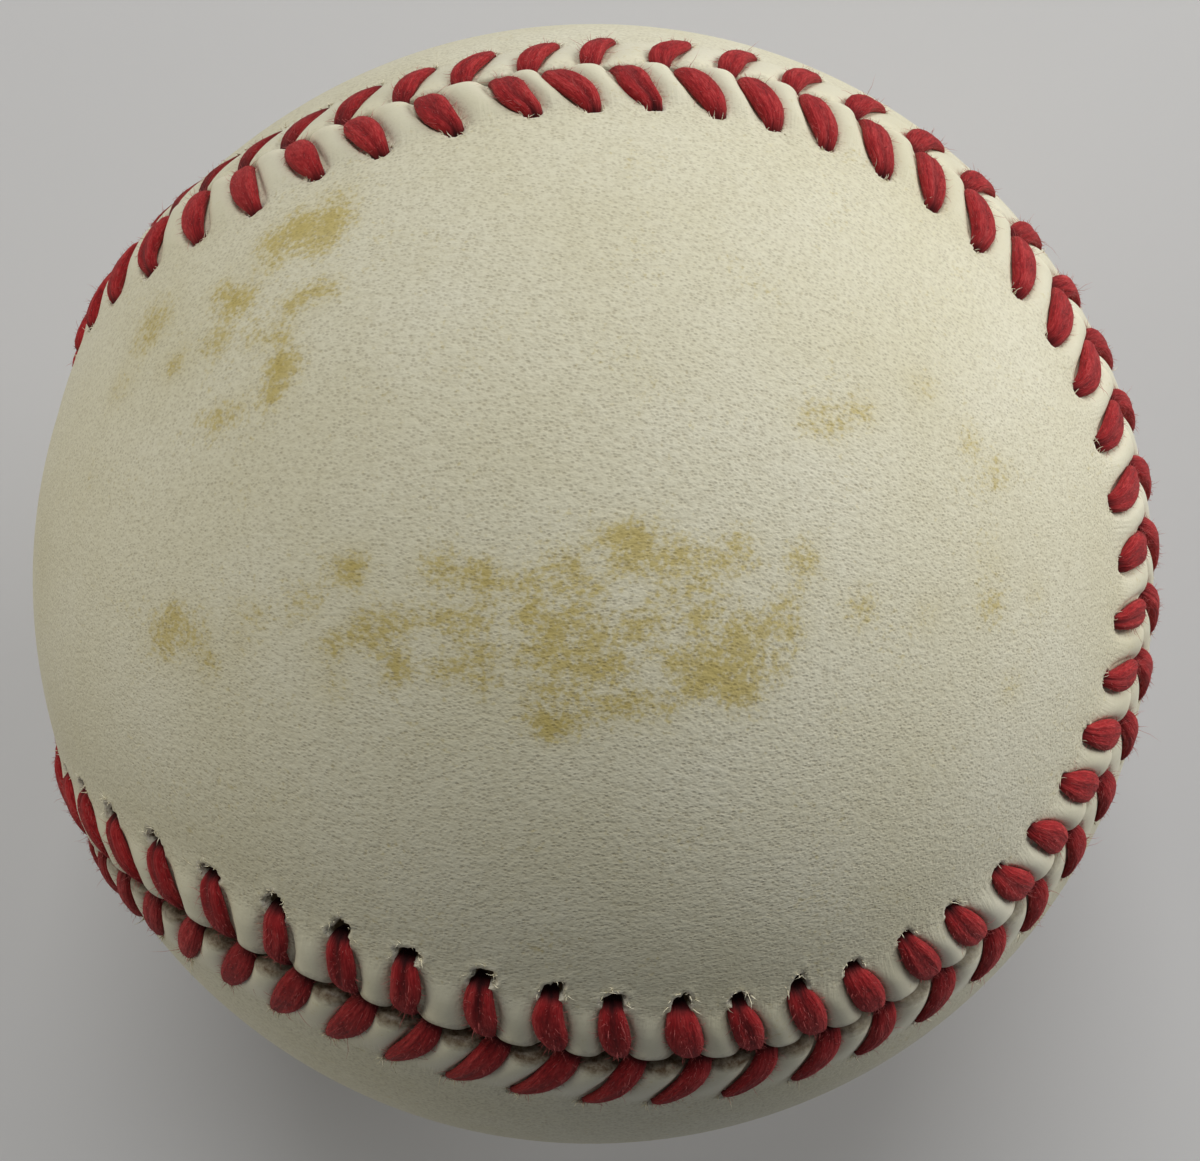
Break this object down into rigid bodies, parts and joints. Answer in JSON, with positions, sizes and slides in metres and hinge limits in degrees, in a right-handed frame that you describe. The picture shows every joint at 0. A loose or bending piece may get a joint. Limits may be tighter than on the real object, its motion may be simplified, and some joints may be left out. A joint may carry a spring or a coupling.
{
  "type": "baseball",
  "caption": "Leather-covered ball with a rubber-cased cork pill, layered yarn windings, interlocking cover panels and a raised red-stitched seam.",
  "frame": {"origin": "centre of the ball", "axes": "+X through the middle of panel b's waist, -X through the middle of panel a's waist; +Z and -Z through the middles of panel a's two lobes; +Y and -Y through the middles of panel b's two lobes"},
  "size_m": [0.0742, 0.0742, 0.0742],
  "materials": {
    "cork_composition": "ground cork bound with rubber, matte",
    "black_rubber": "matte moulded rubber",
    "red_rubber": "matte moulded rubber",
    "grey_wool": "tightly wound wool yarn",
    "white_wool": "tightly wound wool yarn",
    "finishing_yarn": "fine cotton-blend yarn under a thin coat of rubber cement",
    "cream_leather": "fine-grained alum-tanned leather, satin, stained by use",
    "waxed_red_thread": "waxed multi-ply thread, satin"
  },
  "bodies": {
    "root": {"cork_core": "cork_composition", "inner_shell_top": "black_rubber", "inner_shell_bottom": "black_rubber", "gasket_left": "red_rubber", "gasket_right": "red_rubber", "outer_shell": "red_rubber", "first_winding": "grey_wool", "second_winding": "white_wool", "third_winding": "grey_wool", "finish_winding": "finishing_yarn", "cover_panel_a": "cream_leather", "cover_panel_b": "cream_leather", "thread_a": "waxed_red_thread", "thread_b": "waxed_red_thread"}
  },
  "joints": []
}
